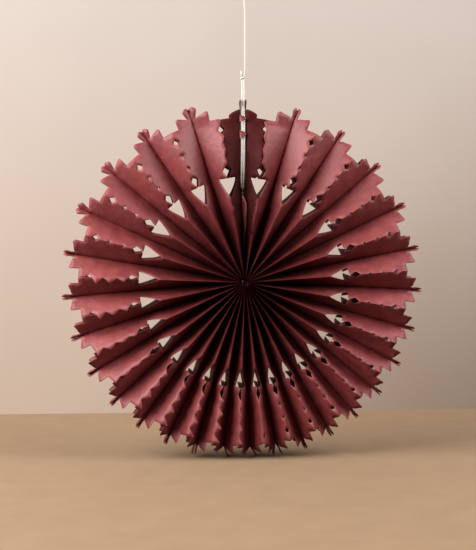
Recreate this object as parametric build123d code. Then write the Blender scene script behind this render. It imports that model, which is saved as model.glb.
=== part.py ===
from build123d import *
import math
import os

# Paper fan rosette: a ring of flattened paper sleeves, glued to each other along their centre lines.
# Sizes are in millimetres and degrees. The front faces -Y and the hub centre is the origin.
# A clock angle runs clockwise from the top, as seen from the front.

# Sleeves
sleeve_count = 28
tip_radius = 150.0           # hub centre to the tips of the leaves
hub_radius = 2.8             # hub centre to the inner ends of the sleeves
glue_half_width = 1.5        # half of the glued strip between two sleeves
paper_thickness = 0.15
widest_opening = 76.5        # steepest slope of a panel at the shoulder of its leaf
top_spread = 0.29            # share by which the top sleeves open wider than the average one
side_lean = 1.2              # half of the angle by which the lowest leaf hangs to the left
splay_start = 285.0          # clock angles between which the stubs at the tips spread apart
splay_end = 352.0

# Leaf outline: an offset is from the glue line, an inset from the fold and a drop from the tip
tip_notch_drop = 2.5
stub_tip_offset = 6.2
stub_notch_offset = 4.9
stub_notch_drop = 9.5
shoulder_tip_inset = 8.2
shoulder_tip_drop = 4.9
shoulder_notch_inset = 8.2
shoulder_notch_drop = 14.0
first_tooth_drop = 13.7      # where the two layers first meet at the fold
first_notch_drop = 22.8
tooth_pitch = 11.4
notch_width = 5.0
rim_notch_inset = 3.0        # depth of the first notch, the middle ones and the last one
middle_notch_inset = 1.0
base_notch_inset = 5.0
leaf_length = 63.3
base_tooth_inset = 0.6
base_corner_inset = 11.2
neck_length = 15.6           # cut-out between the leaf and the unbroken fold
neck_power = 1.25            # 1 for a straight-sided cut-out, 2 for an elliptic one
neck_steps = 3

# String
string_diameter = 1.45
strand_gap = 0.1             # between the two strands in the seam
seam_clearance = 0.4         # beside the two strands, for the glue
strand_clearance = 0.1       # at the lower ends of the strands, where the seam narrows
knot_diameter = 3.6
knot_length = 6.5
knot_chamfer = 0.8
seam_knot_rise = 16.5        # from the tips to the knot that closes the doubled string
hanging_length = 63.0        # single string between the two knots
loop_height = 20.0
loop_half_width = 6.0
loop_bend_radius = 4.5

# Worked out from the sizes above
shoulder_radius = tip_radius - shoulder_tip_drop
leaf_base_radius = tip_radius - leaf_length
ridge_radius = leaf_base_radius - neck_length
notch_count = 1 + int((leaf_length - first_notch_drop - notch_width / 2) / tooth_pitch)
strand_offset = (string_diameter + strand_gap) / 2
seam_half_gap = string_diameter + strand_gap / 2 + seam_clearance
seam_angle = math.degrees(math.atan2(seam_half_gap, leaf_base_radius))


def clock_angle(line):
    """Clock angle of a glue line: the sleeves sag, so they are wide at the top and close at the bottom."""
    turn = 2 * math.pi * line / sleeve_count
    even = seam_angle + (360 - 2 * seam_angle) * line / sleeve_count
    return even + math.degrees(top_spread) * math.sin(turn) - side_lean * (1 - math.cos(turn))


def glue_point(line, distance):
    """A point on a glue line. The first and last lines are the sides of the seam at the top."""
    if line in (0, sleeve_count):
        side = 1 if line == 0 else -1
        gap = seam_half_gap * min(1, distance / ridge_radius)
        return Vector(side * gap, 0, distance)
    angle = math.radians(clock_angle(line))
    return Vector(distance * math.sin(angle), 0, distance * math.cos(angle))


def sleeve_span(sleeve, distance):
    """How far apart the two glue lines of a sleeve are."""
    return (glue_point(sleeve + 1, distance) - glue_point(sleeve, distance)).length


# The panels are as wide as the sleeve that opens widest needs
widest_span = max(sleeve_span(sleeve, shoulder_radius) for sleeve in range(sleeve_count))
panel_width = widest_span / 2 / math.sin(math.radians(widest_opening))
fold_offset = glue_half_width + panel_width    # flat sleeve, from its glue line to its fold


def panel_slope(sleeve, distance):
    """How far a panel turns from its glue line to meet the other layer at the fold.

    Beyond the shoulder, where the leaf no longer reaches the fold, it keeps the shoulder's slope.
    """
    return math.asin(sleeve_span(sleeve, min(distance, shoulder_radius)) / 2 / panel_width)


def sheet_fans():
    """Half of a flat sheet, as fans from stations along the glue strip to the outline.

    Each fan is a station's distance from the hub and the outline points that it faces,
    as pairs of an offset and a distance. A fan starts where the one before it ends.
    """

    def inset_point(inset, drop):
        return (fold_offset - inset, tip_radius - drop)

    neck = []
    for step in range(neck_steps + 1):
        rise = 1 - step / neck_steps
        inset = base_corner_inset * (1 - rise**neck_power) ** (1 / neck_power)
        neck.append(inset_point(inset, leaf_length + neck_length * rise))
    fans = [
        (hub_radius, [(fold_offset, hub_radius), neck[0]]),
        (ridge_radius, neck),
    ]

    # The notches along the fold, from the leaf's base outward, two to a fan
    edge = [neck[-1], inset_point(base_tooth_inset, leaf_length)]
    notches_in_fan = 0
    for notch in reversed(range(notch_count)):
        drop = first_notch_drop + notch * tooth_pitch
        place = 2 * notch / max(notch_count - 1, 1) - 1
        end_inset = base_notch_inset if place > 0 else rim_notch_inset
        inset = middle_notch_inset + (end_inset - middle_notch_inset) * place**2
        if notch < notch_count - 1:
            edge.append(inset_point(0, drop + notch_width / 2))
        if notches_in_fan == 0:
            station = tip_radius - drop + tooth_pitch / 3
        edge.append(inset_point(inset, drop))
        notches_in_fan += 1
        if notches_in_fan == 2 or notch == 0:
            fans.append((station, edge))
            edge = [edge[-1]]
            notches_in_fan = 0
        edge.append(inset_point(0, drop - notch_width / 2))

    # The first tooth, the shoulder and the stub at the tip
    edge += [
        inset_point(0, first_tooth_drop),
        inset_point(shoulder_notch_inset, shoulder_notch_drop),
        inset_point(shoulder_tip_inset, shoulder_tip_drop),
        (stub_notch_offset, tip_radius - stub_notch_drop),
        (stub_tip_offset, tip_radius),
    ]
    fans.append((tip_radius - shoulder_notch_drop - notch_width / 2, edge))
    strip_end = tip_radius - tip_notch_drop * (1 - glue_half_width / stub_tip_offset)
    fans.append((strip_end, [edge[-1]]))
    return fans


def sheet_point(sleeve, layer, face, offset, distance, inner):
    """Where a point of the flat sheet lies once the sleeve is open.

    Layer 0 hangs on the sleeve's first glue line and layer 1 on its second. Face is 1 at the
    front and -1 at the back. The inner skin lies one paper thickness inside the outer one.
    """
    start = glue_point(sleeve + layer, distance)
    across = (glue_point(sleeve + 1 - layer, distance) - start).normalized()
    slope = panel_slope(sleeve, distance)
    reach = offset - glue_half_width
    sideways = reach * math.sin(slope)
    depth = glue_half_width + reach * math.cos(slope)
    splayed = splay_start < clock_angle(sleeve + layer) < splay_end
    if distance == tip_radius and not splayed:
        # The stub at the tip stays in the plane of the glue
        sideways = 0
        depth = offset
        skin = (paper_thickness, 0)
    elif reach == 0:
        skin = (paper_thickness, -paper_thickness * math.tan(slope / 2))
    elif offset == fold_offset:
        skin = (0, -paper_thickness / math.sin(slope))
    else:
        skin = (paper_thickness * math.cos(slope), -paper_thickness * math.sin(slope))
    if inner:
        sideways += skin[0]
        depth += skin[1]
    return start + across * sideways + Vector(0, -face * depth, 0)


def sleeve_triangles():
    """Triangles of a whole sleeve: corners are (layer, face, offset, distance), shared at the folds."""

    def corner(layer, face, point):
        return (0 if point[0] == fold_offset else layer, face, *point)

    fans = sheet_fans()
    triangles = []
    for layer in (0, 1):
        for (station, edge), (next_station, _) in zip(fans, fans[1:]):
            strip = []
            for face in (1, -1):
                here = corner(layer, face, (glue_half_width, station))
                beyond = corner(layer, face, (glue_half_width, next_station))
                outline = [corner(layer, face, point) for point in edge]
                triangles += [(here, a, b) for a, b in zip(outline, outline[1:])]
                triangles.append((here, outline[-1], beyond))
                strip += [here, beyond]
            triangles += [(strip[0], strip[1], strip[3]), (strip[0], strip[3], strip[2])]
    return triangles


def triangle_face(corners):
    return Face(Wire.make_polygon(corners, close=True))


def make_sleeve(sleeve):
    """One sleeve of folded paper: an outer skin, an inner skin, and the cut edges between them."""
    triangles = sleeve_triangles()
    corners = {key for triangle in triangles for key in triangle}
    outer = {key: sheet_point(sleeve, *key, False) for key in corners}
    inner = {key: sheet_point(sleeve, *key, True) for key in corners}

    edge_uses = {}
    faces = []
    for triangle in triangles:
        faces.append(triangle_face([outer[key] for key in triangle]))
        faces.append(triangle_face([inner[key] for key in triangle]))
        for start, end in zip(triangle, triangle[1:] + triangle[:1]):
            edge = frozenset((start, end))
            edge_uses[edge] = edge_uses.get(edge, 0) + 1
    for edge, uses in edge_uses.items():
        if uses == 1:
            start, end = sorted(edge)
            faces.append(triangle_face([outer[start], outer[end], inner[end]]))
            faces.append(triangle_face([outer[start], inner[end], inner[start]]))
    return Solid(Shell(faces))


def upright_string(x, bottom, top):
    """A straight, upright stretch of string."""
    place = Plane(origin=(x, 0, bottom))
    return extrude(place * Circle(string_diameter / 2), top - bottom)


def string_knot(bottom):
    """The outer shape of a tight knot."""
    blank = extrude(Plane(origin=(0, 0, bottom)) * Circle(knot_diameter / 2), knot_length)
    return chamfer(blank.edges().filter_by(GeomType.CIRCLE), knot_chamfer)


def hanging_loop(bottom):
    """The loop at the top of the string, with both ends in its knot."""
    top = bottom + loop_height
    corners = [
        (-strand_offset, 0, bottom),
        (-loop_half_width, 0, top),
        (loop_half_width, 0, top),
        (strand_offset, 0, bottom),
    ]
    path = FilletPolyline(*corners, radius=loop_bend_radius)
    section = Plane(origin=path @ 0, z_dir=path % 0) * Circle(string_diameter / 2)
    loop = sweep(section, path=path)
    # The ends are trimmed level with the top of the knot
    return loop & Pos(0, 0, bottom + loop_height) * Box(4 * loop_half_width, knot_length, 2 * loop_height)


def make_string():
    """The string's solids by node name, from the seam up."""
    seam_knot_bottom = tip_radius + seam_knot_rise
    string_bottom = seam_knot_bottom + knot_length
    loop_knot_bottom = string_bottom + hanging_length
    strand_side = strand_offset + string_diameter / 2 + strand_clearance
    strand_bottom = ridge_radius * strand_side / seam_half_gap
    return {
        "seam_strand_left": upright_string(-strand_offset, strand_bottom, seam_knot_bottom),
        "seam_strand_right": upright_string(strand_offset, strand_bottom, seam_knot_bottom),
        "seam_knot": string_knot(seam_knot_bottom),
        "hanging_string": upright_string(0, string_bottom, loop_knot_bottom),
        "loop_knot": string_knot(loop_knot_bottom),
        "hanging_loop": hanging_loop(loop_knot_bottom + knot_length),
    }


nodes = {f"sleeve_{sleeve + 1:02d}": make_sleeve(sleeve) for sleeve in range(sleeve_count)}
nodes.update(make_string())

os.makedirs("parts", exist_ok=True)
for name, solid in nodes.items():
    export_step(solid, f"parts/{name}.step")
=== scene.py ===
import math

import bmesh
import bpy
import numpy as np
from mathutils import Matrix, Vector, noise
from mathutils.geometry import delaunay_2d_cdt


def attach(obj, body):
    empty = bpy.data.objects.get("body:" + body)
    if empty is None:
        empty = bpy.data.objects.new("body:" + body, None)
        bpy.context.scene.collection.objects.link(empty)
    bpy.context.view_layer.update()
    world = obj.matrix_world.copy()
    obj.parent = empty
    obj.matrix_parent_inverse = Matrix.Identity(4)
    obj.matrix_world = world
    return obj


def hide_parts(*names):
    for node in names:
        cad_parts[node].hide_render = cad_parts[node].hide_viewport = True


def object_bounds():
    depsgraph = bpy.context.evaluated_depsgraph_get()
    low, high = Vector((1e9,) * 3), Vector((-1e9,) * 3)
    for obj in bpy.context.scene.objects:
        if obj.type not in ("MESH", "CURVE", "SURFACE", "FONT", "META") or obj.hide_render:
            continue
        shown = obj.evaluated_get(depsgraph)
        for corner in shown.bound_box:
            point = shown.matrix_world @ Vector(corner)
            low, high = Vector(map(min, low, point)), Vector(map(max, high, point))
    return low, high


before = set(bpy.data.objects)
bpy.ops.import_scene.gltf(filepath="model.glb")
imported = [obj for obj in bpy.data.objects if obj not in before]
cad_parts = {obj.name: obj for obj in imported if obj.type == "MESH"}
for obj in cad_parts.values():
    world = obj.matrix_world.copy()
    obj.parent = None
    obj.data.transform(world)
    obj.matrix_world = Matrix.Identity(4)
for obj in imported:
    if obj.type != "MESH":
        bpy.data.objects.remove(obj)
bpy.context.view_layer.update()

# Paper fan rosette. Sizes are in metres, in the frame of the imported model: the front faces -Y.
# A clock angle is in degrees and runs clockwise from the top, as seen from the front.
# A pair of sizes or angles is where something begins and where it is complete.

# Sleeves, as in the part's source, but closer to the hub's centre and glued more widely at the seam
sleeve_count = 28
tip_radius = 0.150
hub_radius = 0.0021
glue_half_width = 0.0015
seam_glue_half_width = 0.0065   # at the seam, where the end sheets are stuck to the string
paper_thickness = 0.00015
widest_opening = 76.5           # steepest slope of a panel at the shoulder of its leaf
top_spread = 0.29               # share by which the top sleeves open wider than the average one
side_lean = 1.2                 # half of the angle by which the lowest leaf hangs to the left
splay_start = 285.0             # clock angles between which the stubs at the tips spread apart
splay_end = 352.0

# Leaf outline: an offset is from the glue line, an inset from the fold and a drop from the tip
tip_notch_drop = 0.0025
stub_tip_offset = 0.0045
stub_corner_offset = 0.0076
stub_corner_drop = 0.0022
stub_notch_offset = 0.0049
stub_notch_drop = 0.0095
shoulder_tip_inset = 0.0082
shoulder_tip_drop = 0.0049
shoulder_notch_inset = 0.0082
shoulder_notch_drop = 0.0140
first_tooth_drop = 0.0137
first_notch_drop = 0.0228
tooth_pitch = 0.0114
notch_width = 0.0050
rim_notch_inset = 0.0030        # depth of the first notch, the middle ones and the last one
middle_notch_inset = 0.0010
base_notch_inset = 0.0050
leaf_length = 0.0633
base_tooth_inset = 0.0006
base_corner_inset = 0.0112
neck_length = 0.0156
neck_power = 1.25               # 1 for a straight-sided cut-out, 2 for an elliptic one
neck_steps = 6
tooth_depth = 0.0054            # of a whole tooth, where the fold doesn't cut it short
tooth_middle = 0.5              # where a tooth's tip is between its two notches
rim_tooth_middle = 0.7
corner_radius = 0.0013          # of tooth tips; notches have half of it
shoulder_round = 0.0022         # of the tooth at the shoulder
corner_reach = 1.2              # where a rounding begins, in radii from its corner
corner_limit = 0.45             # and at most, as a share of the side that it begins on
corner_steps = (0.0, 0.25, 0.5, 0.75, 1.0)

# Where the sheets were stacked askew, one layer's teeth lie free over the other at the front
free_teeth_reach = 0.0064       # beyond the fold
free_teeth_base_share = 0.4     # share of that reach at the base of the leaf
free_teeth_lift = math.radians(16)  # of the free teeth from the layer that they lie over
free_tooth_round = 0.7          # in corner radii
tucked_inset = 0.0005           # of the layer behind
free_teeth_from = (166.0, 196.0)    # clock angles over which the free teeth come up
free_teeth_to = (272.0, 288.0)      # and over which they go down again
whole_fold_angle = 238.0        # between them, a fold that no tooth cuts
whole_fold_spread = 11.0
free_rim_end = 244.0            # clock angle up to which the tooth at the rim lies free as well
least_free_share = 0.1          # share of free teeth up to which the layers still meet at the fold
straight_edge_share = 0.5       # and from which the layer behind shows no notches
seam_free_teeth = 0.35          # share of free teeth at the two end sheets

# The two end sheets, at the seam
seam_closed_below = 0.0600      # distance from the hub below which the seam's two sides meet
seam_closing = 0.005
seam_side_gap = 0.00005         # that each side keeps from the middle
seam_front_closing = (0.066, 0.075)
seam_back_closing = (0.075, 0.090)
seam_shoulder_sag = 0.0058      # of the end sheets' shoulders
sag_offsets = (0.006, 0.0165)
sag_distances = (0.134, 0.145)
strand_lips = (                 # heights where the left one's edge is turned over the strands
    (0.1174, 0.1239), (0.1312, 0.1363),
)
strand_lip_left = -1.7          # its left end and its width, in half gaps of the seam
strand_lip_width = 2.8
strand_lip_power = 0.6          # 1 for an outline that is a sine, less for a fuller one
strand_lip_rows = 9
strand_lip_height = 0.7         # before the middle of the strands, in string diameters
strand_lip_slope = 0.0007       # how much further forward its right end is
hub_lip = (                     # heights, left ends and right ends of the right one's edge
    (0.018, -0.0004, 0.0000), (0.030, -0.0007, 0.0006),
    (0.040, -0.0010, 0.0010), (0.047, -0.0012, 0.0018),
    (0.053, -0.0014, 0.0017), (0.058, -0.0016, 0.0024),
    (0.064, -0.0016, 0.0022), (0.071, -0.0016, -0.0010),
)
hub_lip_forward = 0.0105
hub_lip_slope = 0.0026
lip_steps = (0.0, 0.35, 0.7, 1.0)   # across a lip

# How the paper lies
valley_bend = 0.0045            # width over which a panel bends out of its glued strip
panel_slack = 1.003             # least length of two panels, as a multiple of what they bridge
crinkle_height = 0.0007         # soft buckles
crinkle_length = 0.026
crease_height = 0.0008          # sharp creases
crease_length = 0.034
crease_slant = 0.5              # across the sleeve, for each step along it
crease_level = 0.2              # of the noise where a crease is level with the sheet
crease_seed = 31.7
ripple_height = 0.00012         # small ripples
ripple_length = 0.007
ripple_seed = 57.3
crinkle_stretch = 1.5           # of all three along the sleeve
crinkle_fade = 0.006            # beside the glued strip and the fold, where they die away
loose_fold_hold = 0.4           # share of them that dies away at a fold whose layers lie apart
crinkle_distances = (0.02, 0.07)

# The stubs at the tips, and how each differs from the next by its mood, a noise from -1 to 1
stub_base_slant = 0.28
stub_base_rises = (-0.002, 0.003)   # over which a stub leaves its sheet, from its notch
stub_side_offsets = (0.008, 0.011)  # over which it ends
mood_place = (1.7, 3.1, 4.0)    # in the noise, for each line and layer
pinched_share = 0.4             # share of its place across that a pinched stub keeps
pinched_range = 0.3
pinched_gap = 0.0002
pinched_gap_middle = 0.8
lowest_bend = 62.0              # bend in degrees of the lowest stubs, which stand on the table
lowest_bend_spread = 17.0       # clock angle on each side of the bottom over which it dies away
lowest_bend_gain = 1.6          # raises it, up to its full value, between
lowest_bend_middle = 0.85
lowest_bend_range = 0.3
lowest_bend_start = 0.002       # below the stub's notch
lowest_bend_across = 0.55       # shares of it across the leaf and to its front or back
lowest_bend_forward = 0.5

# Mesh of the sheets, and painted shade: the paper's colour made darker, as a share of its usual
# lightness, towards the hub and on the two end sheets, where shade falls
mesh_spacing = 0.0030
mesh_edge_clearance = 0.6       # of the points inside from the outline, in spacings
mesh_columns_beyond = 3         # the fold
mesh_tolerance = 1e-7
weld_distance = 2e-5
sharp_angle = 32
# Painted shade at the hub: the paper's lightness there, and the distances over which it returns to
# full
painted_hub_shade = 0.33
painted_hub_shade_reach = (0.025, 0.122)
# Painted shade on the two end sheets, which lie in shade at the seam
painted_end_sheet_shade = 0.27

# String
string_diameter = 0.00145
strand_gap = 0.0001
seam_clearance = 0.0004
strand_clearance = 0.0001
knot_diameter = 0.0036
knot_length = 0.0065
seam_knot_rise = 0.0165
hanging_length = 0.063
loop_height = 0.020
loop_half_width = 0.006
string_aside = 0.0016           # of the single string, which leaves the hitch at the right
string_aside_end = 5            # above which it goes to the middle, in its own distance aside
strand_forward = 0.0065         # of the strands in the seam, towards the front
strand_rise = 0.015             # over which they come forward
ply_count = 3
ply_sides = 8
ply_fullness = 0.93             # thickness of the plies, which are pressed into each other
twist_length = 0.0045           # along the string for one turn of its plies
string_step = 0.0004
route_resolution = 24
hitch_resolution = 12
hitch_middle = 0.4              # of the knot's length
hitch_crossing = 1.6            # of its last turn before the strands, in string radii
knot_turns = 2.5
knot_steps = 40
knot_end_share = 0.86           # of the knot's radius at its ends, and how much more in its middle
knot_bulge_share = 0.14
knot_wobble = 0.0003

# Worked out from the sizes above
shoulder_radius = tip_radius - shoulder_tip_drop
leaf_base_radius = tip_radius - leaf_length
ridge_radius = leaf_base_radius - neck_length
notch_count = 1 + int((leaf_length - first_notch_drop - notch_width / 2) / tooth_pitch)
strand_offset = (string_diameter + strand_gap) / 2
seam_half_gap = string_diameter + strand_gap / 2 + seam_clearance
seam_angle = math.degrees(math.atan2(seam_half_gap, leaf_base_radius))

# Camera, for a picture of 476 x 550 pixels
image_size = (476, 550)
hub_pixel = (242.8, 281.0)
focal_pixels = 1400.0
sensor_size = 36.0
camera_distance = 1.16
camera_left = 4.6               # degrees from straight in front
camera_above = 3.4
wall_distance = 0.243           # from the hub to the wall behind it
# Painted shade on the wall: darker and warmer towards its foot, and darker towards the lower right
foot_painted_shade_heights = (-0.15, 0.32)    # of the wall, where its tint is full and where it ends
painted_shade_end = (0.62, 0.59, 0.57)  # the wall's darkest shade
white = (1, 1, 1)


def smoothstep(low, high, value):
    t = np.clip((value - low) / (high - low), 0.0, 1.0)
    return t * t * (3 - 2 * t)


# Paper sleeves


def clock_angle(line):
    """Clock angle of a glue line: the sleeves sag, wide at the top and close at the bottom."""
    turn = 2 * math.pi * line / sleeve_count
    even = seam_angle + (360 - 2 * seam_angle) * line / sleeve_count
    return even + math.degrees(top_spread) * math.sin(turn) - side_lean * (1 - math.cos(turn))


def glue_points(line, distance):
    """Points on a glue line, as an array of (x, z). The first and last are the seam's sides."""
    if line in (0, sleeve_count):
        side = 1 if line == 0 else -1
        gap = seam_half_gap * np.minimum(1, distance / ridge_radius)
        closed = smoothstep(seam_closed_below - seam_closing, seam_closed_below, distance)
        gap = gap * closed + seam_side_gap
        return np.stack([side * gap, distance], axis=1)
    angle = math.radians(clock_angle(line))
    return np.stack([distance * math.sin(angle), distance * math.cos(angle)], axis=1)


def sleeve_span(sleeve, distance):
    """How far apart the two glue lines of a sleeve are."""
    return np.linalg.norm(glue_points(sleeve + 1, distance) - glue_points(sleeve, distance), axis=1)


# The panels are as wide as the sleeve that opens widest needs
shoulder = np.array([shoulder_radius])
widest_span = max(sleeve_span(sleeve, shoulder)[0] for sleeve in range(sleeve_count))
panel_width = widest_span / 2 / math.sin(math.radians(widest_opening))
fold_offset = glue_half_width + panel_width


def rounded_outline(corners):
    """A closed outline from (x, y, radius) corners, with its round corners as short curves."""
    outline = []
    count = len(corners)
    for i, (x, y, radius) in enumerate(corners):
        here = np.array((x, y))
        if radius == 0:
            outline.append(tuple(here))
            continue
        ends = []
        for neighbour in (corners[i - 1], corners[(i + 1) % count]):
            way = np.array(neighbour[:2]) - here
            length = np.linalg.norm(way)
            ends.append(here + way * min(corner_reach * radius / length, corner_limit))
        for t in corner_steps:
            point = (1 - t) ** 2 * ends[0] + 2 * t * (1 - t) * here + t**2 * ends[1]
            outline.append(tuple(point))
    return outline


def divided(outline, spacing):
    """The outline with its long sides divided evenly."""
    points = []
    for (x0, y0), (x1, y1) in zip(outline, outline[1:] + outline[:1]):
        steps = max(1, round(math.hypot(x1 - x0, y1 - y0) / spacing))
        for step in range(steps):
            share = step / steps
            points.append((x0 + (x1 - x0) * share, y0 + (y1 - y0) * share))
    return points


def half_sheet_outline(reach, rim_free, notched):
    """Outline of half of a flat sheet, as (offset, distance) points.

    The teeth end reach beyond the fold, or short of it where reach is negative. With a free rim,
    the first tooth lies free as well. A sheet that isn't notched has a straight edge.
    """
    corners = [(0.0, hub_radius, 0), (fold_offset, hub_radius, 0), (fold_offset, ridge_radius, 0)]
    for step in range(1, neck_steps + 1):
        rise = 1 - step / neck_steps
        inset = base_corner_inset * (1 - rise**neck_power) ** (1 / neck_power)
        corners.append((fold_offset - inset, leaf_base_radius - neck_length * rise, 0))
    corners.append((fold_offset - base_tooth_inset, leaf_base_radius, corner_radius))

    notches = []
    for notch in reversed(range(notch_count)):
        drop = first_notch_drop + notch * tooth_pitch
        place = 2 * notch / max(notch_count - 1, 1) - 1
        end_inset = base_notch_inset if place > 0 else rim_notch_inset
        inset = middle_notch_inset + (end_inset - middle_notch_inset) * place**2
        if reach > 0 and (0 < notch < notch_count - 1 or notch == 0 and rim_free):
            inset = 0.0
        notches.append((fold_offset - inset, tip_radius - drop))
    if not notched:
        corners.append((fold_offset + reach, tip_radius - first_tooth_drop, 0))
        notches = []
    for i, (x, y) in enumerate(notches):
        last = i == notch_count - 1
        along = (y - leaf_base_radius) / leaf_length
        tooth_free = reach > 0 and (rim_free or not last)
        edge = fold_offset + min(reach, 0.0)
        if tooth_free:
            edge = fold_offset + reach * min(1, free_teeth_base_share + along)
        if x < edge:
            corners.append((x, y, corner_radius / 2))
        end = tip_radius - first_tooth_drop if last else notches[i + 1][1]
        end_x = x if last else notches[i + 1][0]
        middle = y + (end - y) * (rim_tooth_middle if last else tooth_middle)
        if tooth_free:
            corners.append((edge, middle, free_tooth_round * corner_radius))
            continue
        tip = (max(x, end_x) + tooth_depth, middle)
        if tip[0] <= edge:
            corners.append((*tip, corner_radius))
            continue
        for start_x, start_y in ((x, y), (end_x, end)):
            share = (edge - start_x) / (tip[0] - start_x)
            if share > 0:
                flat_y = start_y + (tip[1] - start_y) * share
                corners.append((edge, end if last and start_y == end else flat_y, 0))

    corners += [
        (fold_offset - shoulder_notch_inset, tip_radius - shoulder_notch_drop, corner_radius / 2),
        (fold_offset - shoulder_tip_inset, tip_radius - shoulder_tip_drop, shoulder_round),
        (stub_notch_offset, tip_radius - stub_notch_drop, corner_radius / 2),
        (stub_corner_offset, tip_radius - stub_corner_drop, corner_radius),
        (stub_tip_offset, tip_radius, corner_radius),
        (0.0, tip_radius - tip_notch_drop, 0),
    ]
    return divided(rounded_outline(corners), mesh_spacing)


def fill_outline(outline):
    """Triangles that fill an outline evenly: (points as an array, corner triples)."""
    ring = np.array(outline)
    xs, ys = ring[:, 0], ring[:, 1]
    next_xs, next_ys = np.roll(xs, -1), np.roll(ys, -1)
    run = np.where(next_ys == ys, 1, next_ys - ys)
    inside_points = []
    row = 0
    height = mesh_spacing * math.sqrt(3) / 2
    columns = fold_offset / mesh_spacing + mesh_columns_beyond
    y = ys.min() + height
    while y < ys.max():
        crosses = (ys > y) != (next_ys > y)
        crossing_xs = xs + (y - ys) * (next_xs - xs) / run
        for x in np.arange(0.5 + 0.5 * (row % 2), columns) * mesh_spacing:
            if np.count_nonzero(crosses & (x < crossing_xs)) % 2 == 0:
                continue
            if np.min(np.hypot(xs - x, ys - y)) > mesh_edge_clearance * mesh_spacing:
                inside_points.append((x, y))
        y += height
        row += 1
    points = [Vector(p) for p in outline + inside_points]
    border = [(i, (i + 1) % len(outline)) for i in range(len(outline))]
    filled = delaunay_2d_cdt(points, border, [list(range(len(outline)))], 1, mesh_tolerance)
    return np.array([tuple(p) for p in filled[0]]), filled[2]


def strip_half_width(line):
    return seam_glue_half_width if line in (0, sleeve_count) else glue_half_width


def fold_places(sleeve, layer, distance):
    """Where the layers meet at the fold, as (sideways, depth) from the glue line of this layer.

    Each panel is a bar from the edge of its glued strip to the fold. Beyond the shoulder,
    where the leaf no longer reaches the fold, the panels keep the shoulder's slope.
    """
    held = np.minimum(distance, shoulder_radius)
    near = sleeve + layer
    far = sleeve + 1 - layer
    span = sleeve_span(sleeve, held)
    step = strip_half_width(far) - strip_half_width(near)
    reach = np.hypot(span, step)
    near_bar = fold_offset - strip_half_width(near)
    far_bar = fold_offset - strip_half_width(far)
    stretch = np.maximum(1, panel_slack * reach / (near_bar + far_bar))
    near_bar = near_bar * stretch
    far_bar = far_bar * stretch
    along = (near_bar**2 - far_bar**2 + reach**2) / (2 * reach)
    height = np.sqrt(np.maximum(near_bar**2 - along**2, 0))
    sideways = (span * along - step * height) / reach
    depth = strip_half_width(near) + (step * along + span * height) / reach
    return sideways, depth


def noise_field(offset, distance, length, seed):
    """Smooth noise at each point of a sheet, from -1 to 1 or so."""
    return np.array([noise.noise(Vector((x / length, y / length / crinkle_stretch, seed)))
                     for x, y in zip(offset, distance)])


def crinkles(offset, distance, seed):
    """Height of the paper's unevenness at each point: soft buckles, sharp creases and ripples."""
    buckle = noise_field(offset, distance, crinkle_length, seed)
    slanted = offset + crease_slant * distance
    crease = np.abs(noise_field(slanted, distance, crease_length, seed + crease_seed))
    ripple = noise_field(offset, distance, ripple_length, seed + ripple_seed)
    creased = crease_height * (crease_level - crease)
    return crinkle_height * buckle + creased + ripple_height * ripple


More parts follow.
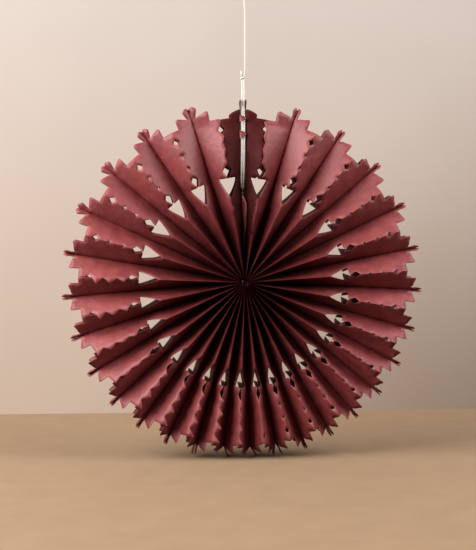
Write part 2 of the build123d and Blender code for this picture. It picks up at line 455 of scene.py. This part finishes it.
def place_sheet(sleeve, layer, face, points, joined):
    """Where the points of a half sheet lie in the open sleeve, as an array of (x, y, z)."""
    offset = points[:, 0]
    distance = points[:, 1]
    line = sleeve + layer
    start = glue_points(line, distance)
    across = glue_points(sleeve + 1 - layer, distance) - start
    across /= np.linalg.norm(across, axis=1)[:, None]
    strip = strip_half_width(line)
    fold_sideways, fold_depth = fold_places(sleeve, layer, distance)
    panel = fold_offset - strip
    lean = np.stack([fold_sideways, fold_depth - strip], axis=1) / panel
    bend_end = strip + valley_bend - glue_half_width
    bend_start = max(0.0, strip - valley_bend + glue_half_width)
    t = np.clip((offset - bend_start) / (bend_end - bend_start), 0, 1)
    bend = t**2 * (bend_end - strip)
    straight = np.clip(offset - bend_end, 0, fold_offset - bend_end)
    beyond = np.maximum(offset - fold_offset, 0)
    sideways = lean[:, 0] * (bend + straight) + beyond * math.cos(free_teeth_lift)
    depth = np.minimum(offset, bend_start) + (1 - (1 - t) ** 2) * (strip - bend_start)
    depth = depth + lean[:, 1] * (bend + straight) + beyond * math.sin(free_teeth_lift)

    # Before and behind the ends of the strands, the two end sheets touch
    if line in (0, sleeve_count):
        closing = seam_front_closing if face == 1 else seam_back_closing
        short_of_fold = 1 - smoothstep(strip, fold_offset, offset)
        touching = smoothstep(strip / 2, strip, offset) * short_of_fold
        touching = touching * (1 - smoothstep(*closing, distance))
        sideways = sideways - np.abs(start[:, 0]) * touching

    # The paper isn't quite flat, apart from its glued strip and its fold
    lift = crinkles(offset, distance, 10 * sleeve + 4 * layer + face)
    free = smoothstep(strip, strip + crinkle_fade, offset)
    near_fold = smoothstep(fold_offset - crinkle_fade, fold_offset, offset)
    held = np.where(joined | (distance < ridge_radius), 1.0, loose_fold_hold)
    free = free * (1 - near_fold * held)
    lift = lift * free * smoothstep(*crinkle_distances, distance)
    sideways = sideways - lift * lean[:, 1]
    depth = depth + lift * lean[:, 0]

    # The stub at the tip: pinched to its neighbour, or spread apart from it at the upper left
    base = tip_radius - stub_notch_drop
    rise = distance - base - np.maximum(offset - stub_notch_offset, 0) * stub_base_slant
    stub = smoothstep(*stub_base_rises, rise) * (1 - smoothstep(*stub_side_offsets, offset))
    angle = clock_angle(line)
    mood_line, mood_layer, mood_height = mood_place
    mood = noise.noise(Vector((line * mood_line, layer * mood_layer, mood_height)))
    if splay_start < angle < splay_end:
        kept = 1.0
        apart = 0.0
    else:
        kept = pinched_share + pinched_range * abs(mood)
        apart = pinched_gap
    sideways = sideways * (1 - stub * (1 - kept)) + stub * apart * (mood + pinched_gap_middle)

    # The lowest stubs bend where they stand on the table
    bottom = max(0.0, 1 - abs(angle - 180) / lowest_bend_spread)
    bend_share = lowest_bend_middle + lowest_bend_range * mood
    stub_bend = math.radians(lowest_bend * min(1.0, lowest_bend_gain * bottom) * bend_share)
    past = np.maximum(distance - base + lowest_bend_start, 0)
    drawn = past * (1 - math.cos(stub_bend))
    sideways = sideways + past * math.sin(stub_bend) * lowest_bend_across
    forward = lowest_bend_forward if mood > 0 else -lowest_bend_forward
    depth = depth + past * math.sin(stub_bend) * forward * face

    # The shoulders of the two end sheets sag towards the hub
    if line in (0, sleeve_count):
        sag = smoothstep(*sag_offsets, offset) * smoothstep(*sag_distances, distance)
        drawn = drawn + seam_shoulder_sag * sag

    radial = start / np.linalg.norm(start, axis=1)[:, None]
    flat = start + across * sideways[:, None] - radial * drawn[:, None]
    return np.stack([flat[:, 0], -face * depth, flat[:, 1]], axis=1)


def free_teeth(sleeve):
    """How far one layer's teeth lie free over the other at the front of a sleeve, from 0 to 1."""
    if sleeve in (0, sleeve_count - 1):
        return seam_free_teeth
    angle = (clock_angle(sleeve) + clock_angle(sleeve + 1)) / 2
    share = smoothstep(*free_teeth_from, angle) * (1 - smoothstep(*free_teeth_to, angle))
    return float(share * smoothstep(0, whole_fold_spread, abs(angle - whole_fold_angle)))


sheets = {}


def half_sheet(*kind):
    """The filled half sheet of this kind, made once."""
    if kind not in sheets:
        sheets[kind] = fill_outline(half_sheet_outline(*kind))
    return sheets[kind]


def painted_shade_factor(line, distance):
    """Painted shade: how light the paper is made at each point, darker towards the hub and on the
    two end sheets, where shade falls.
    """
    light = painted_hub_shade + (1 - painted_hub_shade) * smoothstep(*painted_hub_shade_reach, distance)
    return light * (painted_end_sheet_shade if line in (0, sleeve_count) else 1.0)


def add_lip(mesh, strength, outline, forward, slope):
    """A lip of paper at the front of the seam, from rows of (height, left end, right end)."""
    rows = []
    for height, left, right in outline:
        row = []
        for across in lip_steps:
            x = left + (right - left) * across
            corner = mesh.verts.new((x, -forward - slope * across, height))
            corner[strength] = (1, 1, 1, 1)
            row.append(corner)
        rows.append(row)
    for row, following in zip(rows, rows[1:]):
        for i in range(len(row) - 1):
            mesh.faces.new((row[i], row[i + 1], following[i + 1], following[i]))


def strand_lip(low, high):
    """Outline of a lip over the strands, as rows for add_lip."""
    left = strand_lip_left * seam_half_gap
    outline = []
    for along in np.linspace(0, 1, strand_lip_rows):
        bulge = math.sin(math.pi * along) ** strand_lip_power
        width = strand_lip_width * seam_half_gap * bulge
        outline.append((low + (high - low) * along, left, left + width))
    return outline


def make_sleeve(sleeve, material):
    """One sleeve of folded paper."""
    share = free_teeth(sleeve)
    free_layer = 0 if sleeve == sleeve_count - 1 else 1
    mesh = bmesh.new()
    # Painted shade, stored on each point as a colour that the material multiplies by
    strength = mesh.verts.layers.float_color.new("painted_shade_factor")
    for layer in (0, 1):
        for face in (1, -1):
            reach = 0.0
            if face == 1 and share > least_free_share:
                reach = -tucked_inset
                if layer == free_layer:
                    reach = round(free_teeth_reach * share, 4)
            notched = reach >= 0 or share < straight_edge_share
            points, triangles = half_sheet(reach, clock_angle(sleeve) < free_rim_end, notched)
            places = place_sheet(sleeve, layer, face, points, reach == 0.0)
            corners = [mesh.verts.new(place) for place in places]
            for corner, light in zip(corners, painted_shade_factor(sleeve + layer, points[:, 1])):
                corner[strength] = (light, light, light, 1)
            flip = (layer == 0) == (face == 1)
            for triangle in triangles:
                order = reversed(triangle) if flip else triangle
                mesh.faces.new([corners[i] for i in order])
    if sleeve == sleeve_count - 1:
        lip_forward = strand_forward + strand_lip_height * string_diameter
        for low, high in strand_lips:
            add_lip(mesh, strength, strand_lip(low, high), lip_forward, strand_lip_slope)
    if sleeve == 0:
        add_lip(mesh, strength, hub_lip, hub_lip_forward, hub_lip_slope)
    bmesh.ops.remove_doubles(mesh, verts=mesh.verts, dist=weld_distance)
    for each in mesh.faces:
        each.smooth = True
    name = f"paper_sleeve_{sleeve + 1:02d}"
    data = bpy.data.meshes.new(name)
    mesh.to_mesh(data)
    mesh.free()
    data.set_sharp_from_angle(angle=math.radians(sharp_angle))
    data.materials.append(material)
    piece = bpy.data.objects.new(name, data)
    bpy.context.collection.objects.link(piece)
    solid = piece.modifiers.new("thickness", "SOLIDIFY")
    solid.thickness = paper_thickness
    solid.offset = -1
    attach(piece, "root")
    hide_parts(f"sleeve_{sleeve + 1:02d}")


# String


def spline_points(controls, resolution):
    """Points along a smooth spline through the route's control points."""
    curve = bpy.data.curves.new("route", "CURVE")
    curve.dimensions = "3D"
    spline = curve.splines.new("NURBS")
    spline.points.add(len(controls) - 1)
    for point, place in zip(spline.points, controls):
        point.co = (*place, 1)
    spline.order_u = 3
    spline.use_endpoint_u = True
    spline.resolution_u = resolution
    carrier = bpy.data.objects.new("route", curve)
    line = bpy.data.meshes.new_from_object(carrier)
    points = [v.co.copy() for v in line.vertices]
    bpy.data.objects.remove(carrier)
    bpy.data.curves.remove(curve)
    bpy.data.meshes.remove(line)
    return points


def evenly_spaced(points, step):
    """The same line with its points evenly spaced."""
    lengths = np.cumsum([0] + [(b - a).length for a, b in zip(points, points[1:])])
    count = max(2, round(lengths[-1] / step) + 1)
    wanted = np.linspace(0, lengths[-1], count)
    places = np.array([tuple(p) for p in points])
    spaced = np.stack([np.interp(wanted, lengths, places[:, i]) for i in range(3)], axis=1)
    return [Vector(p) for p in spaced]


def twisted_string(name, routes, material):
    """A twisted string along one or more routes, as one mesh of its plies."""
    spread = 1 / math.sin(math.pi / ply_count)
    ply_radius = string_diameter / 2 / (1 + spread)
    ply_radius *= spread * ply_fullness
    twist_radius = string_diameter / 2 - ply_radius
    mesh = bmesh.new()
    for route in routes:
        line = evenly_spaced(route, string_step)
        side = (line[1] - line[0]).orthogonal().normalized()
        turned = 0.0
        rings = [[] for _ in range(ply_count)]
        for i, place in enumerate(line):
            ahead = line[min(i + 1, len(line) - 1)] - line[max(i - 1, 0)]
            ahead.normalize()
            side = (side - ahead * side.dot(ahead)).normalized()
            other = ahead.cross(side)
            if i:
                turned += 2 * math.pi * (place - line[i - 1]).length / twist_length
            for ply in range(ply_count):
                angle = turned + 2 * math.pi * ply / ply_count
                centre = place + (side * math.cos(angle) + other * math.sin(angle)) * twist_radius
                ring = []
                for corner in range(ply_sides):
                    around = angle + 2 * math.pi * corner / ply_sides
                    outward = side * math.cos(around) + other * math.sin(around)
                    ring.append(mesh.verts.new(centre + outward * ply_radius))
                rings[ply].append(ring)
        for ply in rings:
            for ring, following in zip(ply, ply[1:]):
                for a in range(ply_sides):
                    b = (a + 1) % ply_sides
                    mesh.faces.new((ring[a], ring[b], following[b], following[a]))
            mesh.faces.new(list(reversed(ply[0])))
            mesh.faces.new(ply[-1])
    for each in mesh.faces:
        each.smooth = True
    data = bpy.data.meshes.new(name)
    mesh.to_mesh(data)
    mesh.free()
    data.materials.append(material)
    piece = bpy.data.objects.new(name, data)
    bpy.context.collection.objects.link(piece)
    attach(piece, "root")
    return piece


def make_knot(name, bottom, material):
    """A tight knot: turns of the string wound round its two strands."""
    wound = knot_diameter / 2 - string_diameter / 2
    rise = knot_length - string_diameter
    wrap = []
    for step in range(knot_steps + 1):
        share = step / knot_steps
        angle = 2 * math.pi * knot_turns * share
        bulge = wound * (knot_end_share + knot_bulge_share * math.sin(math.pi * share))
        height = bottom + string_diameter / 2 + rise * share + knot_wobble * math.sin(2 * angle)
        wrap.append(Vector((bulge * math.cos(angle), bulge * math.sin(angle), height)))
    core = [Vector((0, 0, bottom)), Vector((0, 0, bottom + knot_length))]
    return twisted_string(name, [wrap, core], material)


def make_hitch(name, bottom, material):
    """The hitch above the seam: a narrow loop at the left, and the string leaving at the right."""
    half = string_diameter / 2
    middle = bottom + hitch_middle * knot_length
    top = bottom + knot_length - half
    left = -strand_offset - half
    loop = spline_points(
        [
            (-strand_offset, 0, bottom), (left, -half, middle),
            (left, -half, top), (left, half, top),
            (left, half, middle), (strand_offset, half, middle - half),
            (strand_offset, -half, bottom + half), (left, -hitch_crossing * half, bottom + half),
            (left, 0, bottom),
        ],
        hitch_resolution,
    )
    leaving = spline_points(
        [
            (strand_offset, 0, bottom), (strand_offset, 0, middle - half),
            (string_aside, 0, middle + string_diameter), (string_aside, 0, bottom + knot_length),
        ],
        hitch_resolution,
    )
    return twisted_string(name, [loop, leaving], material)


def make_string(material):
    """The doubled string in the seam, its knot, the single string above it and its loop."""
    seam_knot_bottom = tip_radius + seam_knot_rise
    string_bottom = seam_knot_bottom + knot_length
    loop_knot_bottom = string_bottom + hanging_length
    loop_bottom = loop_knot_bottom + knot_length
    loop_top = loop_bottom + loop_height
    strand_side = strand_offset + string_diameter / 2 + strand_clearance
    strand_bottom = ridge_radius * strand_side / seam_half_gap

    seam_knot = make_hitch("string_seam_knot", seam_knot_bottom, material)
    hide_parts("seam_knot")
    for side, word in ((-1, "left"), (1, "right")):
        x = side * strand_offset
        start = (x, 0, strand_bottom)
        forward = -strand_forward
        route = spline_points(
            [
                start,
                (x, 0, strand_bottom + strand_rise),
                (x, forward, strand_bottom + 2 * strand_rise),
                (x, forward, tip_radius - strand_rise),
                (x, 0, seam_knot_bottom),
            ],
            route_resolution,
        )
        strand = twisted_string(f"string_seam_{word}", [route], material)
        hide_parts(f"seam_strand_{word}")

    loop_knot = make_knot("string_loop_knot", loop_knot_bottom, material)
    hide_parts("loop_knot")
    loop_route = spline_points(
        [
            (-strand_offset, 0, loop_bottom),
            (-loop_half_width, 0, loop_top),
            (loop_half_width, 0, loop_top),
            (strand_offset, 0, loop_bottom),
        ],
        route_resolution,
    )
    loop = twisted_string("string_loop", [loop_route], material)
    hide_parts("hanging_loop")
    start = (string_aside, 0, string_bottom)
    route = spline_points(
        [
            start,
            (string_aside, 0, string_bottom + hanging_length / 2),
            (string_aside, 0, loop_knot_bottom - string_aside_end * string_aside),
            (0, 0, loop_knot_bottom),
        ],
        route_resolution,
    )
    string = twisted_string("string_hanging", [route], material)
    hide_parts("hanging_string")


# Materials


def new_material(name):
    material = bpy.data.materials.new(name)
    material.use_nodes = True
    nodes = material.node_tree.nodes
    return material, nodes, material.node_tree.links, nodes["Principled BSDF"]


def add_noise(nodes, links, coordinates, scale, detail):
    texture = nodes.new("ShaderNodeTexNoise")
    texture.inputs["Scale"].default_value = scale
    texture.inputs["Detail"].default_value = detail
    links.new(coordinates, texture.inputs["Vector"])
    return texture.outputs["Fac"]


def add_ramp(nodes, links, source, stops):
    ramp = nodes.new("ShaderNodeValToRGB")
    elements = ramp.color_ramp.elements
    for element, (position, colour) in zip(elements, (stops[0], stops[-1])):
        element.position = position
        element.color = (*colour, 1)
    for position, colour in stops[1:-1]:
        elements.new(position).color = (*colour, 1)
    links.new(source, ramp.inputs["Fac"])
    return ramp.outputs["Color"]


def add_multiply(nodes, links, first, second):
    mix = nodes.new("ShaderNodeMix")
    mix.data_type = "RGBA"
    mix.blend_type = "MULTIPLY"
    mix.inputs["Factor"].default_value = 1
    links.new(first, mix.inputs["A"])
    links.new(second, mix.inputs["B"])
    return mix.outputs["Result"]


def add_range(nodes, links, source, from_range, to_range):
    node = nodes.new("ShaderNodeMapRange")
    node.inputs["From Min"].default_value, node.inputs["From Max"].default_value = from_range
    node.inputs["To Min"].default_value, node.inputs["To Max"].default_value = to_range
    links.new(source, node.inputs["Value"])
    return node.outputs["Result"]


def add_bump(nodes, links, height, strength, distance):
    bump = nodes.new("ShaderNodeBump")
    bump.inputs["Strength"].default_value = strength
    bump.inputs["Distance"].default_value = distance
    links.new(height, bump.inputs["Height"])
    return bump


def paper_material():
    """Burgundy craft paper: mottled dye, short fibres, a faint cockle and a slight sheen, with
    painted shade that darkens it and dims its sheen towards the hub and on the end sheets.
    """
    material, nodes, links, shader = new_material("burgundy_paper")
    place = nodes.new("ShaderNodeTexCoord").outputs["Object"]
    mottle = add_noise(nodes, links, place, scale=110, detail=6)
    cockle = add_noise(nodes, links, place, scale=240, detail=3)
    fibres = add_noise(nodes, links, place, scale=1400, detail=3)
    dye = add_ramp(nodes, links, mottle, [
        (0.32, (0.196, 0.026, 0.027)),
        (0.50, (0.238, 0.035, 0.036)),
        (0.68, (0.282, 0.048, 0.050)),
    ])
    grain = add_ramp(nodes, links, fibres, [(0.35, (0.86, 0.84, 0.84)), (0.65, white)])
    dyed = add_multiply(nodes, links, dye, grain)
    # Painted shade: the colour is multiplied by the shade stored on each point
    depth = nodes.new("ShaderNodeAttribute")
    depth.attribute_name = "painted_shade_factor"
    with_painted_shade = add_multiply(nodes, links, dyed, depth.outputs["Color"])
    links.new(with_painted_shade, shader.inputs["Base Color"])
    rough = add_range(nodes, links, mottle, (0, 1), (0.50, 0.66))
    links.new(rough, shader.inputs["Roughness"])
    # The sheen fades with the painted shade as well
    shine = add_range(nodes, links, depth.outputs["Fac"], (painted_hub_shade, 1), (0.05, 0.65))
    links.new(shine, shader.inputs["Specular IOR Level"])
    bump = add_bump(nodes, links, fibres, strength=0.22, distance=0.00025)
    waves = add_bump(nodes, links, cockle, strength=0.5, distance=0.0007)
    links.new(bump.outputs["Normal"], waves.inputs["Normal"])
    links.new(waves.outputs["Normal"], shader.inputs["Normal"])
    return material


def string_material():
    """Bleached cotton string."""
    material, nodes, links, shader = new_material("cotton_string")
    place = nodes.new("ShaderNodeTexCoord").outputs["Object"]
    fibres = add_noise(nodes, links, place, scale=2600, detail=4)
    colour = add_ramp(nodes, links, fibres, [(0.3, (0.70, 0.67, 0.60)), (0.7, (0.86, 0.84, 0.79))])
    links.new(colour, shader.inputs["Base Color"])
    bump = add_bump(nodes, links, fibres, strength=0.4, distance=0.0002)
    links.new(bump.outputs["Normal"], shader.inputs["Normal"])
    shader.inputs["Roughness"].default_value = 0.85
    shader.inputs["Sheen Weight"].default_value = 0.3
    return material


def stage_material(name, low, high, scale, painted_shade_direction, foot_painted_shade, bounce):
    """Matt paint, mottled, with painted shade: darker in one direction, and darker and warmer
    towards its foot.

    It is clear from behind, and sends back only a share of its light, the bounce, to anything
    but the camera.
    """
    material, nodes, links, shader = new_material(name)
    place = nodes.new("ShaderNodeTexCoord").outputs["Object"]
    mottle = add_noise(nodes, links, place, scale=scale, detail=3)
    colour = add_ramp(nodes, links, mottle, [(0.3, low), (0.7, high)])
    # Painted shade, darker along the given direction
    across = nodes.new("ShaderNodeVectorMath")
    across.operation = "DOT_PRODUCT"
    across.inputs[1].default_value = painted_shade_direction
    links.new(place, across.inputs[0])
    shade = add_ramp(nodes, links, across.outputs["Value"], [(0.0, white), (1.0, painted_shade_end)])
    shaded = add_multiply(nodes, links, colour, shade)
    # Painted shade towards the foot
    height = nodes.new("ShaderNodeSeparateXYZ")
    links.new(place, height.inputs["Vector"])
    rise = add_range(nodes, links, height.outputs["Z"], foot_painted_shade_heights, (0, 1))
    tint = add_ramp(nodes, links, rise, [(0.0, foot_painted_shade), (1.0, white)])
    tinted = add_multiply(nodes, links, shaded, tint)
    camera_ray = nodes.new("ShaderNodeLightPath").outputs["Is Camera Ray"]
    sent = add_range(nodes, links, camera_ray, (0, 1), (bounce, 1))
    links.new(add_multiply(nodes, links, tinted, sent), shader.inputs["Base Color"])
    shader.inputs["Roughness"].default_value = 0.8
    clear = nodes.new("ShaderNodeBsdfTransparent")
    sides = nodes.new("ShaderNodeMixShader")
    links.new(nodes.new("ShaderNodeNewGeometry").outputs["Backfacing"], sides.inputs["Fac"])
    links.new(shader.outputs["BSDF"], sides.inputs[1])
    links.new(clear.outputs["BSDF"], sides.inputs[2])
    links.new(sides.outputs["Shader"], nodes["Material Output"].inputs["Surface"])
    return material


# Stage, light and camera


def add_plane(name, corners, material):
    data = bpy.data.meshes.new(name)
    data.from_pydata(corners, [], [(0, 1, 2, 3)])
    data.materials.append(material)
    plane = bpy.data.objects.new(name, data)
    bpy.context.collection.objects.link(plane)


def make_stage(floor_height):
    wide = 3.0
    front = -3.0
    top = 2.5
    # The wall has painted shade, darker towards the lower right and at its foot
    wall = stage_material(
        "wall_paint", low=(0.465, 0.415, 0.385), high=(0.49, 0.44, 0.41), scale=6,
        painted_shade_direction=(1.8, 0, -2.0), foot_painted_shade=(1.0, 0.86, 0.72), bounce=0.7,
    )
    table = stage_material(
        "table_top", low=(0.240, 0.156, 0.088), high=(0.262, 0.170, 0.097), scale=40,
        painted_shade_direction=(0, 0, 0), foot_painted_shade=white, bounce=0.3,
    )
    add_plane(
        "floor",
        [(-wide, front, floor_height), (wide, front, floor_height),
         (wide, wall_distance, floor_height), (-wide, wall_distance, floor_height)],
        table,
    )
    add_plane(
        "backdrop",
        [(-wide, wall_distance, floor_height), (wide, wall_distance, floor_height),
         (wide, wall_distance, top), (-wide, wall_distance, top)],
        wall,
    )


def add_light(name, place, target, size, power, colour):
    lamp = bpy.data.lights.new(name, "AREA")
    lamp.shape = "RECTANGLE"
    lamp.size, lamp.size_y = size
    lamp.energy = power
    lamp.color = colour
    light = bpy.data.objects.new(name, lamp)
    light.location = place
    light.rotation_euler = (Vector(target) - Vector(place)).to_track_quat("-Z", "Y").to_euler()
    bpy.context.collection.objects.link(light)


def make_lights():
    add_light("key_light", (-1.1, -0.50, 0.75), (0, 0, 0), (1.2, 1.2), 50, (1.0, 0.97, 0.94))
    add_light("fill_light", (1.2, -0.45, 0.95), (0, 0, 0), (1.0, 1.2), 31, (1.0, 0.97, 0.96))
    world = bpy.data.worlds.new("studio")
    bpy.context.scene.world = world
    world.use_nodes = True
    background = world.node_tree.nodes["Background"]
    background.inputs["Color"].default_value = (1.0, 0.97, 0.94, 1)
    background.inputs["Strength"].default_value = 0.01


def make_camera():
    left = math.radians(camera_left)
    above = math.radians(camera_above)
    towards = Vector((
        -math.sin(left) * math.cos(above),
        -math.cos(left) * math.cos(above),
        math.sin(above),
    ))
    place = towards * camera_distance
    look = (-towards).to_track_quat("-Z", "Y").to_matrix()
    # The hub is a little off the picture's centre
    right_shift = (hub_pixel[0] - image_size[0] / 2) / focal_pixels * camera_distance
    down_shift = (hub_pixel[1] - image_size[1] / 2) / focal_pixels * camera_distance
    target = -look.col[0] * right_shift + look.col[1] * down_shift
    data = bpy.data.cameras.new("camera")
    data.sensor_fit = "VERTICAL"
    data.sensor_height = sensor_size
    data.lens = focal_pixels / image_size[1] * sensor_size
    camera = bpy.data.objects.new("camera", data)
    camera.location = place
    camera.rotation_euler = (target - place).to_track_quat("-Z", "Y").to_euler()
    bpy.context.collection.objects.link(camera)
    bpy.context.scene.camera = camera


bpy.context.scene.view_settings.view_transform = "Standard"

make_string(string_material())
paper = paper_material()
for number in range(sleeve_count):
    make_sleeve(number, paper)

visual_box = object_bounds()
make_stage(visual_box[0][2])
make_lights()
make_camera()
